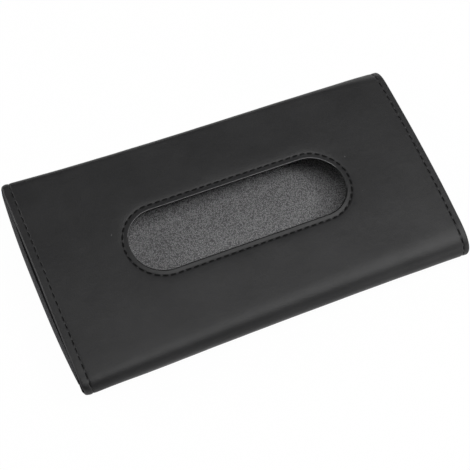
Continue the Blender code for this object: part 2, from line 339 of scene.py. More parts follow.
# %% [markdown]
# These three functions are the heart of the lesson. The first finds the place of a flat
# point on the regular sleeve, stretch by stretch, and the second on the real one. The
# third adds a height over the leather's outer face: leather lies just below it, the
# lining below that, and stitches on top.

# %% From the flat sheet to the sleeve
def regular(x, s):
    """Point of the regular sleeve's outer face for a place on the flat sheet."""
    bend_y = HALF_WIDTH - fold_shape(x)[2]
    if s < LIP_END:
        y = mix(LIP_EDGE_Y, -bend_y, s / LIP_END)
        return Vector((x, y, lip_height(x, y)))
    if s < NEAR_APEX:
        share = (s - LIP_END) / (NEAR_APEX - LIP_END)
        y, z = lower_fold(x, share, lip_height(x, -bend_y))
        return Vector((x, -y, z - sag(x, -y) * ease(0, 1, share)))
    if s < FRONT_START:
        y, z = upper_fold(x, (s - NEAR_APEX) / (FRONT_START - NEAR_APEX))
        return Vector((x, -y, z - sag(x, -y)))
    if s < FRONT_END:
        y = s - FRONT_START - FRONT_HALF
        return Vector((x, y, front_height(x, y, HALF_WIDTH - fold_shape(x, y > 0)[0])))
    if s < FAR_APEX:
        y, z = upper_fold(x, (FAR_APEX - s) / (FAR_APEX - FRONT_END), True)
        return Vector((x, y, z))
    if s < FLAP_START:
        share = (FLAP_START - s) / (FLAP_START - FAR_APEX)
        y, z = lower_fold(x, share, flap_height(x, bend_y), True)
        return Vector((x, y, z))
    y = mix(bend_y, FLAP_EDGE_Y, (s - FLAP_START) / (SHEET_END - FLAP_START))
    return Vector((x, y, flap_height(x, y)))


def outer(x, s):
    """Point of the leather's outer face for a place on the flat sheet."""
    return spread(*regular(x, s), s)


def wrap(flat):
    """Roll up a point of the flat sheet: x, s and height over its outer face."""
    step = 0.1 * MM
    x, s, over = flat
    along = outer(x + step, s) - outer(x - step, s)
    round_it = outer(x, s + step) - outer(x, s - step)
    return outer(x, s) + along.cross(round_it).normalized() * over


print("a point on the near fold, mm:", [round(side / MM, 1) for side in wrap((0, NEAR_APEX, 0))])

# %% [markdown]
# Shader maths reads best as plain arithmetic. This class wraps a socket of a node, and
# each operator adds a Math node. One function makes every node: it takes the node's
# type, its settings, which are set first, and the values or links of its sockets.

# %% A socket that can be added and multiplied
def add_node(tree, kind, settings, *values, **named):
    """Add a node, set its settings, then its sockets by order or by name."""
    node = tree.nodes.new(kind)
    for key, value in settings.items():
        setattr(node, key, value)
    pairs = list(enumerate(values))
    pairs += [(key.replace("_", " "), value) for key, value in named.items()]
    for key, value in pairs:
        if isinstance(value, Wire):
            tree.links.new(value.socket, node.inputs[key])
        else:
            node.inputs[key].default_value = value
    return node


class Wire:
    """Output socket of a shader node, with arithmetic."""

    def __init__(self, tree, socket):
        self.tree = tree
        self.socket = socket

    def math(self, operation, *values):
        made = add_node(self.tree, "ShaderNodeMath", {"operation": operation}, *values)
        return Wire(self.tree, made.outputs[0])

    def __add__(self, other):
        return self.math("ADD", self, other)

    def __sub__(self, other):
        return self.math("SUBTRACT", self, other)

    def __rsub__(self, other):
        return self.math("SUBTRACT", other, self)

    def __mul__(self, other):
        return self.math("MULTIPLY", self, other)

    __radd__ = __add__
    __rmul__ = __mul__


# %% [markdown]
# Every finish here is one Principled shader whose colour, roughness and bump vary a
# little over the surface. Most patterns lie on a piece's own flat map, in metres, so that
# the grain runs round the folds as it does on the real sheet.

# %% Recipe for a finish
class Finish:
    """Material under construction."""

    def __init__(self, name, place="sheet"):
        self.material = bpy.data.materials.new(name)
        self.material.use_nodes = True
        self.tree = self.material.node_tree
        self.shader = self.tree.nodes["Principled BSDF"]
        if place == "object":
            self.place = self.wire("ShaderNodeTexCoord", {}, "Object")
        else:
            self.place = self.wire("ShaderNodeUVMap", {"uv_map": place}, "UV")

    def wire(self, kind, settings, output, *values, **named):
        node = add_node(self.tree, kind, settings, *values, **named)
        return Wire(self.tree, node.outputs[output])

    def constant(self, **values):
        for key, value in values.items():
            self.shader.inputs[key.replace("_", " ")].default_value = value

    def stretched(self, x, y):
        """The place, with its two directions scaled."""
        return self.wire("ShaderNodeMapping", {}, "Vector", Vector=self.place, Scale=(x, y, 1))

    def noise(self, scale, detail=3.0, place=None):
        return self.wire("ShaderNodeTexNoise", {}, "Fac", Vector=place or self.place,
                         Scale=scale, Detail=detail)

    def cells(self, scale):
        return self.wire("ShaderNodeTexVoronoi", {"feature": "F1"}, "Distance",
                         Vector=self.place, Scale=scale)

    def ramp(self, value, low, high):
        return self.wire("ShaderNodeMapRange", {"interpolation_type": "SMOOTHSTEP"}, "Result",
                         value, low, high, 0.0, 1.0)

    def colour(self, share, first, second):
        """Base colour from first to second as the share goes from 0 to 1."""
        node = add_node(self.tree, "ShaderNodeMix", {"data_type": "RGBA"})
        sockets = [socket for socket in node.inputs if socket.type == "RGBA"]
        sockets[0].default_value = (*first, 1)
        sockets[1].default_value = (*second, 1)
        self.tree.links.new(share.socket, node.inputs[0])
        result = [socket for socket in node.outputs if socket.type == "RGBA"][0]
        self.tree.links.new(result, self.shader.inputs["Base Color"])

    def roughness(self, value):
        self.tree.links.new(value.socket, self.shader.inputs["Roughness"])

    def height(self, value, distance):
        bump = self.wire("ShaderNodeBump", {}, "Normal", Height=value, Distance=distance)
        self.tree.links.new(bump.socket, self.shader.inputs["Normal"])


# %% [markdown]
# The outside is smooth black artificial leather with a matte face. Its grain is so fine
# that it hardly shows: small cells, pores and a soft mottle give a faint bump, and slower
# noises make the face a little uneven in tone and shine. The back of the leather shows its
# paler fabric backing, and the same backing on the corner of the slot's far edge is a
# painted highlight. A dull black with almost no shine is painted shade: it lies on the
# slot's long cuts, on the corner of its near edge, and on the sleeve's cut and inside at
# the left end.

# %% Leather, its backing and painted edge shade
leather = Finish("black_leather")
blotches = leather.noise(35.0, 2.0)
leather.colour(leather.ramp(blotches, 0.3, 0.7), (0.0125, 0.0125, 0.013), (0.0165, 0.0165, 0.017))
leather.constant(Specular_IOR_Level=0.25)
grain = leather.cells(1500.0) + 0.5 * leather.noise(2600.0, 2.0)
pores = leather.noise(420.0, 4.0)
mottle = leather.noise(150.0, 2.0)
leather.height(grain + 1.5 * pores + 4.0 * mottle, 0.03 * MM)
leather.roughness(0.4 + 0.1 * leather.noise(300.0, 3.0))

# A dull black with almost no shine, which paints shade on edges where shade falls.
painted_shade_edge = Finish("painted_shade_edge")
streaks = painted_shade_edge.noise(900.0, 3.0)
painted_shade_edge.colour(streaks, (0.006, 0.006, 0.006), (0.012, 0.012, 0.012))
painted_shade_edge.constant(Specular_IOR_Level=0.05)
painted_shade_edge.height(streaks, 0.05 * MM)
painted_shade_edge.roughness(0.75 + 0.15 * streaks)

backing = Finish("leather_backing")
fibres = backing.noise(2200.0, 4.0)
backing.colour(backing.ramp(fibres, 0.35, 0.65), (0.085, 0.085, 0.088), (0.17, 0.17, 0.175))
backing.constant(Specular_IOR_Level=0.2)
backing.height(fibres, 0.1 * MM)
backing.roughness(0.85 + 0.1 * fibres)
print("leather finishes made")

# %% [markdown]
# The inside is a dark grey lining with pebbled grain, which catches the light through
# the slot. Rounded cells of about half a millimetre make the pebbles.

# %% Lining
lining = Finish("grained_lining")
pebbles = 1 - lining.cells(1900.0)
specks = lining.noise(2600.0, 2.0)
lining.colour(lining.ramp(pebbles * 0.6 + specks * 0.6, 0.45, 0.95),
              (0.05, 0.05, 0.0515), (0.36, 0.36, 0.366))
lining.height(pebbles + 0.5 * specks, 0.4 * MM)
lining.roughness(0.32 + 0.2 * specks)
print("lining finish made")

# %% [markdown]
# Thread is two strands twisted together. Each stitch has its own flat map, whose first
# direction goes round it and whose second goes along it, so slanting bands show the twist.

# %% Thread
thread = Finish("black_thread", "stitch")
twist = thread.wire("ShaderNodeTexWave", {"bands_direction": "DIAGONAL"}, "Fac",
                    Vector=thread.stretched(2.0, 5.0), Scale=0.6, Distortion=0.4)
thread.colour(twist, (0.002, 0.002, 0.002), (0.007, 0.007, 0.007))
thread.constant(Specular_IOR_Level=0.12)
thread.height(twist, 0.06 * MM)
thread.roughness(0.7 + 0.15 * twist)
print("thread finish made")

# %% [markdown]
# The strap is woven elastic: fine ribs along it, where its rubber cores run, and close
# rows across it. The hidden strips are grey fibreboard. The magnets are nickel-plated,
# with faint scratches from use.

# %% Elastic, board and nickel
elastic = Finish("black_elastic")
ribs = elastic.wire("ShaderNodeTexWave", {"bands_direction": "X"}, "Fac",
                    Vector=elastic.place, Scale=260.0, Distortion=0.3)
rows = elastic.wire("ShaderNodeTexWave", {"bands_direction": "Y"}, "Fac",
                    Vector=elastic.place, Scale=420.0, Distortion=0.6)
weave = ribs * 0.6 + rows * 0.4
elastic.colour(weave, (0.008, 0.008, 0.008), (0.03, 0.03, 0.03))
elastic.height(weave, 0.25 * MM)
elastic.roughness(0.8 + 0.1 * rows)

board = Finish("grey_board")
flecks = board.noise(700.0, 5.0)
board.colour(board.ramp(flecks, 0.35, 0.65), (0.24, 0.23, 0.21), (0.34, 0.33, 0.31))
board.height(flecks, 0.08 * MM)
board.roughness(0.85 + 0.1 * flecks)

nickel = Finish("nickel_plate", "object")
scratches = nickel.noise(500.0, 4.0, nickel.stretched(1.0, 12.0))
nickel.colour(scratches, (0.6, 0.59, 0.57), (0.7, 0.69, 0.66))
nickel.constant(Metallic=1.0)
nickel.height(scratches, 0.01 * MM)
nickel.roughness(0.2 + 0.15 * scratches)
for name in ("lip_magnet_left", "lip_magnet_right", "flap_magnet_left", "flap_magnet_right"):
    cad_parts[name].material_slots[0].material = nickel.material
print("magnets plated")

# %% [markdown]
# Each sheet starts as a plain grid, whose rows and columns are then moved to chosen
# stations: close together beside stitches and cut edges, wider apart elsewhere. A grid
# operator keeps the faces in order, and only the places change. The distances from a row
# and from a cut edge are in millimetres.

# %% Flat sheets from grids
ROW_STATIONS = (0.0, 0.25, 0.45, 0.7, 0.95, 1.3, 1.8)
EDGE_STATIONS = (0.0, 0.02, 0.08, 0.18, 0.35, 0.6, 0.85, 1.1, 1.9)
LEAST_GAP = 0.4


def stations(start, end, step, rows=(), edges=()):
    """Places from start to end, with closer ones round each stitch row and cut edge."""
    count = round((end - start) / step)
    coarse = [mix(start, end, i / count) for i in range(count + 1)]
    extra = [centre + side * distance * MM for side in (-1, 1)
             for places, close in ((rows, ROW_STATIONS), (edges, EDGE_STATIONS))
             for centre in places for distance in close]
    extra = [place for place in extra if start < place < end]
    gap = LEAST_GAP * min(step, MM)
    kept = [place for place in coarse if all(abs(place - other) > gap for other in extra)]
    return sorted({round(place, 6) for place in kept + extra + [start, end]})


def flat_grid(xs, ss):
    """Grid in the plane with its columns at xs and its rows at ss."""
    bm = bmesh.new()
    columns, rows = len(xs) - 1, len(ss) - 1
    bmesh.ops.create_grid(bm, x_segments=columns, y_segments=rows, size=0.5)
    for vert in bm.verts:
        column = round((vert.co.x + 0.5) * columns)
        row = round((vert.co.y + 0.5) * rows)
        vert.co = (xs[column], ss[row], 0)
    return bm


# %% [markdown]
# A hole needs a clean round edge, which a grid can't have. So the faces round the hole
# are deleted, and the space between the gap's edge and a ring that has the hole's own
# shape is filled with triangles. Bridging would twist, as their counts are unequal.

# %% Holes in a sheet
def ring_edges(verts):
    """Edges between the vertices of one ring."""
    ring = set(verts)
    return [e for e in {e for v in ring for e in v.link_edges} if ring.issuperset(e.verts)]


def open_gap(bm, is_inside):
    """Delete the faces inside, and return the edges round the gap."""
    doomed = {f for f in bm.faces if is_inside(f.calc_center_median())}
    rim = {e for f in doomed for e in f.edges if not doomed.issuperset(e.link_faces)}
    bmesh.ops.delete(bm, geom=list(doomed), context="FACES")
    return list(rim)


def fill_between(bm, rim, verts):
    """Fill the flat space between a gap's edge and a ring."""
    bmesh.ops.triangle_fill(bm, edges=rim + ring_edges(verts), use_beauty=True,
                            normal=(0, 0, 1))


def widen(bm, verts, shift):
    """Extrude a ring and move its new vertices with a function."""
    made = bmesh.ops.extrude_edge_only(bm, edges=ring_edges(verts))["geom"]
    fresh = [item for item in made if isinstance(item, bmesh.types.BMVert)]
    for vert in fresh:
        vert.co = shift(vert.co)
    return fresh


# %% [markdown]
# A sheet gets its thickness while it is still flat: all faces are extruded downwards at
# once, which also closes the cut edges. Then the flat places are stored as the map that
# the finishes use, and only after that is the sheet rolled up. Every sheet has a finish
# that is shown and one on its back, and leather has a third, a dull black painted shade.

# %% Thickness, flat map and the finished piece
SHOWN, BACK, PAINTED_SHADE = range(3)


def thicken(bm, thickness, shown_up=True):
    """Extrude a flat sheet downwards, and mark the faces that don't show the finish."""
    bmesh.ops.recalc_face_normals(bm, faces=bm.faces)
    if sum(face.normal.z for face in bm.faces) < 0:
        bmesh.ops.reverse_faces(bm, faces=bm.faces)
    grown = bmesh.ops.extrude_face_region(bm, geom=bm.faces, use_keep_orig=True)["geom"]
    lowered = [item for item in grown if isinstance(item, bmesh.types.BMVert)]
    bmesh.ops.translate(bm, verts=lowered, vec=(0, 0, -thickness))
    bmesh.ops.recalc_face_normals(bm, faces=bm.faces)
    bm.normal_update()
    side = 1 if shown_up else -1
    for face in bm.faces:
        face.material_index = BACK if side * face.normal.z < -0.5 else SHOWN


def keep_flat_map(bm):
    """Store the flat places as a map. Height shifts it, so that cut edges have a width."""
    layer = bm.loops.layers.uv.new("sheet")
    for face in bm.faces:
        for loop in face.loops:
            flat = loop.vert.co
            loop[layer].uv = (flat.x + flat.z, flat.y + flat.z)


def finish_piece(name, bm, finishes, body=None, sharp=50):
    """Smooth object that rides on a body, or stays where it was built without one."""
    mesh = bpy.data.meshes.new(name)
    bm.to_mesh(mesh)
    bm.free()
    for finish in finishes:
        mesh.materials.append(finish.material)
    mesh.shade_smooth()
    mesh.set_sharp_from_angle(angle=math.radians(sharp))
    piece = bpy.data.objects.new(name, mesh)
    scene.collection.objects.link(piece)
    if body:
        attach(piece, body)
    else:
        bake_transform(piece)
    print(name, "has", len(mesh.polygons), "faces")
    return piece


# %% [markdown]
# The slot is an oblong with round ends. Its outset is the distance out from its cut edge,
# and its stitch row lies a few millimetres out. Stitch rows also follow both open ends,
# the lip's edge and the flap's edge.

# %% Slot and stitch rows on the flat sheet
SLOT_HALF_RUN = 45.78 * MM
SLOT_RADIUS = 18.0 * MM
SLOT_MIDDLE = FRONT_START + FRONT_HALF + 2.18 * MM
SLOT_ROW = 3.15 * MM
SLOT_BEND = math.pi * (SLOT_RADIUS + SLOT_ROW)
HALF_ROUND = 2 * SLOT_HALF_RUN + SLOT_BEND
SLOT_STITCHES = 72
LEFT_ROW = -HALF_LENGTH + 4.35 * MM
RIGHT_ROW = HALF_LENGTH - 3.85 * MM
LIP_ROW = 4.5 * MM
FLAP_ROW = SHEET_END - 4.5 * MM
PITCH = 4.6 * MM


def slot_place(share, outset):
    """Flat place at a share of the way round the slot's stitch row."""
    run = (share % 1) * 2 * HALF_ROUND
    side = 1
    if run > HALF_ROUND:
        run -= HALF_ROUND
        side = -1
    if run < 2 * SLOT_HALF_RUN:
        x, y = run - SLOT_HALF_RUN, -SLOT_RADIUS - outset
    else:
        angle = (run - 2 * SLOT_HALF_RUN) / SLOT_BEND * math.pi
        x = SLOT_HALF_RUN + (SLOT_RADIUS + outset) * math.sin(angle)
        y = -(SLOT_RADIUS + outset) * math.cos(angle)
    return Vector((side * x, SLOT_MIDDLE + side * y, 0))


def slot_direction(flat):
    """From the slot's middle line to a flat place."""
    middle = min(max(flat.x, -SLOT_HALF_RUN), SLOT_HALF_RUN)
    return Vector((flat.x - middle, flat.y - SLOT_MIDDLE, 0))


def slot_share(flat):
    """Share of the way round the slot at which a flat place lies."""
    x, y = flat.x, flat.y - SLOT_MIDDLE
    side = 1
    if x < -SLOT_HALF_RUN or (x < SLOT_HALF_RUN and y > 0):
        side = -1
    x, y = side * x, side * y
    run = x + SLOT_HALF_RUN
    if x > SLOT_HALF_RUN:
        angle = math.atan2(x - SLOT_HALF_RUN, -y)
        run = 2 * SLOT_HALF_RUN + angle / math.pi * SLOT_BEND
    return (run + (HALF_ROUND if side < 0 else 0)) / (2 * HALF_ROUND)


def row_distance(x, s):
    """Distance from the nearest straight stitch row, and if that is an end's row."""
    ends = math.hypot(min(abs(x - LEFT_ROW), abs(x - RIGHT_ROW)), max(s - FLAP_ROW, LIP_ROW - s, 0))
    past = max(LEFT_ROW - x, x - RIGHT_ROW, 0)
    across = math.hypot(min(abs(s - FLAP_ROW), abs(s - LIP_ROW)), past)
    return min(ends, across), ends < across


# %% [markdown]
# Each stitch pulls the leather down, and between two stitches the leather stays up. So a
# row is a line of dents; only the long rows of the lip and the flap are plain grooves.
# From the slot's row to its cut edge the leather rises again, which gives the slot its
# raised rim. The cut edges are rounded, and the face as a whole is a little uneven. All
# this is one height, which only the outer face gets. An edge has the width and the drop
# of its rounding. Other depths are in millimetres: RIM's are at the cut edge and at the
# row, and a hollow's comes with its reach.

# %% Relief of the outer face
EDGE = (1.1 * MM, 0.85 * MM)
SLOT_EDGE = (1.0 * MM, 0.6 * MM)
DENT_REACH = 0.75 * MM
DENT_BETWEEN = 0.25
BETWEEN_TO_STITCH = (0.04, 0.2)
END_DENT = 0.34
SLOT_DENT = 0.3
HOLLOW = (0.1, 2.4 * MM)
RIM = (-0.12, 0.55)
SLOT_HOLLOWS = ((0.35, 1.8 * MM), (0.2, 5 * MM))
UNEVEN = ((0.1, 18 * MM), (0.03, 7 * MM))


def rounded(distance, width, drop):
    """How much an edge's rounding takes off at a distance in from the cut."""
    inside = 1 - min(max(distance / width, 0), 1)
    return drop * (1 - math.sqrt(1 - inside * inside))


def dent(distance, stitches):
    """Share of a row's depth, at a distance from it and after a number of stitches."""
    under_stitch = ease(*BETWEEN_TO_STITCH, abs(stitches - round(stitches)))
    return (1 - ease(0, DENT_REACH, distance)) * mix(DENT_BETWEEN, 1, under_stitch)


def relief(x, s):
    """Height of the outer face over a plain sheet."""
    distance, at_end = row_distance(x, s)
    hollow, reach = HOLLOW
    depth = END_DENT * dent(distance, (s - LIP_ROW) / PITCH if at_end else 0.5)
    depth += hollow * (1 - ease(0, reach, distance))
    flat = Vector((x, s, 0))
    outset = slot_direction(flat).length - SLOT_RADIUS
    beyond = outset - SLOT_ROW
    if beyond < 0:
        depth += mix(*RIM, outset / SLOT_ROW)
    else:
        depth += sum(drop * math.exp(-beyond / reach) for drop, reach in SLOT_HOLLOWS)
    depth += SLOT_DENT * dent(abs(beyond), slot_share(flat) * SLOT_STITCHES)
    uneven = sum(rise * noise.noise(flat / size) for rise, size in UNEVEN)
    edge = min(HALF_LENGTH - abs(x), s, SHEET_END - s)
    return (uneven - depth) * MM - rounded(edge, *EDGE) - rounded(outset, *SLOT_EDGE)


def press(bm):
    """Give the outer face its relief."""
    for vert in bm.verts:
        if vert.co.z > -0.5 * LEATHER:
            vert.co.z += relief(vert.co.x, vert.co.y)


print("outer face at the slot's cut, mm:", round(relief(0, SLOT_MIDDLE - SLOT_RADIUS) / MM, 2))

# %% [markdown]
# The slot is opened with a ring that follows its stitch row. From there, rings are
# extruded inwards to the cut edge and outwards to the plain leather, and the space between
# the last one and the grid is filled.

# %% Opening the slot
GAP = 11 * MM


def slot_shift(outset):
    """Move of a flat place straight out from the slot to an outset."""
    def shift(flat):
        direction = slot_direction(flat)
        return flat + direction * ((SLOT_RADIUS + outset * MM) / direction.length - 1)
    return shift


def open_slot(bm, points, inwards, outwards):
    """Cut the slot into a flat sheet, with rings at these outsets, in millimetres."""
    rim = open_gap(bm, lambda flat: slot_direction(flat).length < SLOT_RADIUS + GAP)
    row = bmesh.ops.create_circle(bm, segments=points, radius=1)["verts"]
    for number, vert in enumerate(row):
        vert.co = slot_place(number / points, SLOT_ROW)
    ring = row
    for outset in inwards:
        ring = widen(bm, ring, slot_shift(outset))
    ring = row
    for outset in outwards:
        ring = widen(bm, ring, slot_shift(outset))
    fill_between(bm, rim, ring)


# %% [markdown]
# The leather is made in two pieces that meet on the far fold: one stays with the sleeve,
# and the other bends at the hinge line and swings with the flap. The sheet is turned in at
# its edges, so the leather shows on the inside there. Only the flap's ends are pared down
# to the backing.

# %% Finishes of the cut edges, with painted shade and a painted highlight
TURNED_IN = 9 * MM
PARED = 1.9 * MM
CUT = 0.01 * MM
FROM_MIDDLE = 7 * MM
# Width of the painted shade on the slot's near edge, then the band on its far corner that holds a
# painted highlight, inside which the cut gets painted shade.
NEAR_EDGE_SHADE = 0.6 * MM
FAR_EDGE_HIGHLIGHT = (0.1 * MM, 0.36 * MM)


def colour_ends(face, x, s, is_back):
    """Turned-in edges, the flap's pared ends, and painted shade at the sleeve's left end."""
    from_end = HALF_LENGTH - abs(x)
    on_sleeve = s < FAR_APEX
    if min(from_end, s, SHEET_END - s) < TURNED_IN and (from_end > PARED or on_sleeve):
        face.material_index = SHOWN
    # Painted shade: the left end's cut, and the sleeve's inside near it, go dull black where     the shadow gap between front and flap lies.
    if x < 0 and on_sleeve and from_end < (PARED if is_back else CUT):
        face.material_index = PAINTED_SHADE


def paint_slot_shade_and_highlight(face, from_middle, outset):
    """Painted shade on the slot's far cut and near edge, and a painted highlight on the corner of
    its far edge.
    """
    # Pale backing on the far corner is a painted highlight, and dull black on the far cut and     the near edge is painted shade.
    if from_middle > FROM_MIDDLE and outset < FAR_EDGE_HIGHLIGHT[1]:
        face.material_index = BACK if outset > FAR_EDGE_HIGHLIGHT[0] else PAINTED_SHADE
    elif from_middle < -FROM_MIDDLE and outset < NEAR_EDGE_SHADE:
        face.material_index = PAINTED_SHADE


def colour_edges(bm):
    """Give the faces near the sheet's edges their finishes."""
    for face in bm.faces:
        x, s, _ = place = face.calc_center_median()
        is_back = face.material_index == BACK
        colour_ends(face, x, s, is_back)
        if not is_back:
            paint_slot_shade_and_highlight(face, s - SLOT_MIDDLE, slot_direction(place).length - SLOT_RADIUS)


# %% [markdown]
# Eight rows of the grid to a stitch give the dents of the end rows their shape, and keep
# the folds and the seam smooth. Along the sleeve the grid is coarser. The slot's rings
# have eight points to a stitch too, and lie close together beside its row and its cut.

# %% Leather of the sleeve
POINTS_PER_STITCH = 8
STEP = PITCH / POINTS_PER_STITCH
INNER_RINGS = (2.9, 2.7, 2.5, 2.3, 2.0, 1.6, 1.3, 1.1, 0.85, 0.6, 0.35, 0.18, 0.08, 0.02, 0.0)
OUTER_RINGS = (3.4, 3.6, 3.85, 4.1, 4.4, 4.8, 5.35, 6.2, 7.5, 9.0)


def roll_up(bm):
    """Store the flat map, then wrap every point on the sleeve."""
    keep_flat_map(bm)
    for vert in bm.verts:
        vert.co = wrap(vert.co)


def make_leather(name, bm, node, body=None):
    """Thicken, press and roll up a sheet of leather."""
    thicken(bm, LEATHER)
    colour_edges(bm)
    press(bm)
    roll_up(bm)
    piece = finish_piece(name, bm, (leather, backing, painted_shade_edge), body)
    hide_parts(node)


columns = stations(-HALF_LENGTH, HALF_LENGTH, 5 * MM, (LEFT_ROW, RIGHT_ROW),
                   (-HALF_LENGTH, HALF_LENGTH))
rows_over = stations(0, LIP_ROW, STEP, (LIP_ROW,), (0,))
rows_over += stations(LIP_ROW, FAR_APEX, STEP, (LIP_ROW,))[1:]
sheet = flat_grid(columns, rows_over)
open_slot(sheet, POINTS_PER_STITCH * SLOT_STITCHES, INNER_RINGS, OUTER_RINGS)
make_leather("sleeve_leather", sheet, "front_cover", "sleeve")

# %% [markdown]
# The flap's leather starts at the seam on the far fold. Its rows are as close together, so
# that it stays smooth where it bends at the hinge line when the flap swings open.

# %% Leather of the flap
rows_under = stations(FAR_APEX, SHEET_END, STEP, (FLAP_ROW,), (SHEET_END,))
make_leather("flap_leather", flat_grid(columns, rows_under), "flap_cover")

# %% [markdown]
# The lining is glued to the inside of the leather and follows it. It rises over the two
# stiffening strips. It is made like the leather, on a coarser grid and lower down, and its
# pebbled face is the lower one, which looks into the sleeve.

# %% Lining
board_low, board_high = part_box("flap_strip")
STRIP_RISE = 1.5 * MM
SLOPE_START = 0.3 * MM
SLOPE_END = 2.3 * MM
SET_BACK = 3.0 * MM


def raised_over_strip(x, s):
    """Share of a strip's thickness by which the lining is raised."""
    if LIP_END < s < FLAP_START:
        return 0
    y = outer(x, s).y
    low, high = (strip_low.y, strip_high.y) if s < LIP_END else (board_low.y, board_high.y)
    along = 1 - ease(strip_high.x + SLOPE_START, strip_high.x + SLOPE_END, abs(x))
    across = ease(low - SLOPE_END, low - SLOPE_START, y)
    across -= ease(high + SLOPE_START, high + SLOPE_END, y)
    return along * across


def make_lining(name, bm, body=None):
    """Thicken, raise and roll up a lining."""
    thicken(bm, LINING, shown_up=False)
    for vert in bm.verts:
        vert.co.z -= LINING_DEPTH + STRIP_RISE * raised_over_strip(vert.co.x, vert.co.y)
    roll_up(bm)
    return finish_piece(name, bm, (lining, backing), body)


strip_columns = stations(SET_BACK - HALF_LENGTH, HALF_LENGTH - SET_BACK, 4 * MM)
strip_columns = sorted(set(strip_columns) | {side * (strip_high.x + rise * MM)
                                             for side in (-1, 1) for rise in (0.3, 1.0, 1.6, 2.3)})
sheet = flat_grid(strip_columns, stations(SET_BACK, LIP_END, 1 * MM)
                  + stations(LIP_END, FRONT_START, 1 * MM)[1:]
                  + stations(FRONT_START, FRONT_END, 4 * MM)[1:]
                  + stations(FRONT_END, FAR_APEX, 1 * MM)[1:])
open_slot(sheet, 2 * SLOT_STITCHES, (2.0, 0.8), (5.0, 7.5))
piece = make_lining("sleeve_inner_lining", sheet, "sleeve")
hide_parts("sleeve_lining")

past_bend = FLAP_START + 12 * MM
sheet = flat_grid(strip_columns, stations(FAR_APEX, past_bend, 0.8 * MM)
                  + stations(past_bend, SHEET_END - SET_BACK, 1.5 * MM)[1:])
piece = make_lining("flap_inner_lining", sheet)
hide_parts("flap_lining")

# %% [markdown]
# Each stiffening strip is a thin board with a round hole for each magnet. It is straight,
# so its grid is laid out across the sleeve, and each place is then looked up on the flat
# sheet before it is wrapped.

# %% Stiffening strips
BOARD = 1.2 * MM
UNDER_LEATHER = 0.25 * MM
MAGNET_ROOM = 0.3 * MM


def sheet_place(x, y, is_lip):
    """Second flat coordinate of a place on the lip or flap."""
    bend_y = HALF_WIDTH - fold_shape(x)[2]
    if is_lip:
        return (LIP_EDGE_Y - y) / (LIP_EDGE_Y + bend_y) * LIP_END
    return mix(FLAP_START, SHEET_END, (bend_y - y) / (bend_y - FLAP_EDGE_Y))


def make_strip(name, node, magnets, is_lip, body):
    """Board between leather and lining, with a hole round each magnet."""
    low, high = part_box(node)
    bm = flat_grid(stations(low.x, high.x, 4 * MM), stations(low.y, high.y, 2 * MM))
    for magnet in magnets:
        corner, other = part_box(magnet)
        middle = (corner + other) / 2
        reach = (other.x - corner.x) / 2 + MAGNET_ROOM

        def is_near(flat):
            return max(abs(flat.x - middle.x), abs(flat.y - middle.y)) < 1.4 * reach

        rim = open_gap(bm, is_near)
        place = Matrix.Translation((middle.x, middle.y, 0))
        ring = bmesh.ops.create_circle(bm, segments=32, radius=reach, matrix=place)["verts"]
        fill_between(bm, rim, ring)
    thicken(bm, BOARD)
    keep_flat_map(bm)
    for vert in bm.verts:
        x, y, z = vert.co
        vert.co = wrap((x, sheet_place(x, y, is_lip), z - LEATHER - UNDER_LEATHER))
    piece = finish_piece(name, bm, (board, board), body)
    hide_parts(node)


make_strip("lip_board", "lip_strip", ("lip_magnet_left", "lip_magnet_right"), True, "sleeve")
make_strip("flap_board", "flap_strip", ("flap_magnet_left", "flap_magnet_right"), False,
           "back_flap")

# %% [markdown]
# Every stitch is a rod of its own, because the gaps between stitches are what the eye
# sees. A sphere is drawn out into a blunt rod whose ends dip into the needle holes. It is
# a little aslant, as a lockstitch lies. A rod needs only a few dozen faces, as there are
# hundreds of them.

# %% One stitch
STITCH_SHARE = 0.7
STITCH_WIDTH = 0.65 * MM
STITCH_HEIGHT = 0.4 * MM
STITCH_SLANT = 0.12 * MM
STITCH_DIP = 0.3 * MM
ROW_SUNK = 0.3 * MM


def add_stitch(bm, start, end, up):
    """Rod from start to end on a surface that faces up, with its own map."""
    along = (end - start) / 2
    across = up.cross(along).normalized()
    middle = (start + end) / 2
    made = bmesh.ops.create_uvsphere(bm, u_segments=8, v_segments=7, radius=1, calc_uvs=True)
    for vert in made["verts"]:
        share = vert.co.z
        thin = math.hypot(vert.co.x, vert.co.y)
        blunt = (1 - share ** 4) ** 0.25 / thin if thin > 0.01 else 0
        slant = STITCH_SLANT * share
        vert.co = (middle + along * share
                   + across * (vert.co.x * blunt * STITCH_WIDTH / 2 + slant)
                   + up * (vert.co.y * blunt * STITCH_HEIGHT / 2 - STITCH_DIP * share ** 4))


def ends_of(number, count):
    """Shares of a row at which one of its stitches starts and ends."""
    return [(number + 0.5 + side * STITCH_SHARE / 2) / count for side in (-1, 1)]


def add_row(bm, path, count):
    """Stitches along a path on the flat sheet, wrapped on the sleeve in their dents."""
    for number in range(count):
        first, last = (path(share) for share in ends_of(number, count))
        middle = (first + last) / 2
        up = wrap((middle.x, middle.y, MM)) - wrap((middle.x, middle.y, 0))
        add_stitch(bm, wrap((first.x, first.y, -ROW_SUNK)), wrap((last.x, last.y, -ROW_SUNK)),
                   up.normalized())


def straight(first, last):
    """Path between two flat places."""
    return lambda share: Vector((*first, 0)).lerp(Vector((*last, 0)), share)


def new_stitches():
    """Empty mesh whose stitches get their own flat map."""
    bm = bmesh.new()
    bm.loops.layers.uv.new("stitch")
    return bm


# %% [markdown]
# The rows run round the slot, round both open ends, along the lip's edge, and round the
# flap's three free sides. A row that runs over the far fold is split at the seam, as the
# leather is.

# %% Stitch rows
def make_row(name, node, rows, body=None):
    """Piece with one or more rows of stitches: each a path, and its count."""
    bm = new_stitches()
    for path, count in rows:
        add_row(bm, path, count)
    piece = finish_piece(name, bm, (thread,), body, sharp=180)
    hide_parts(node)


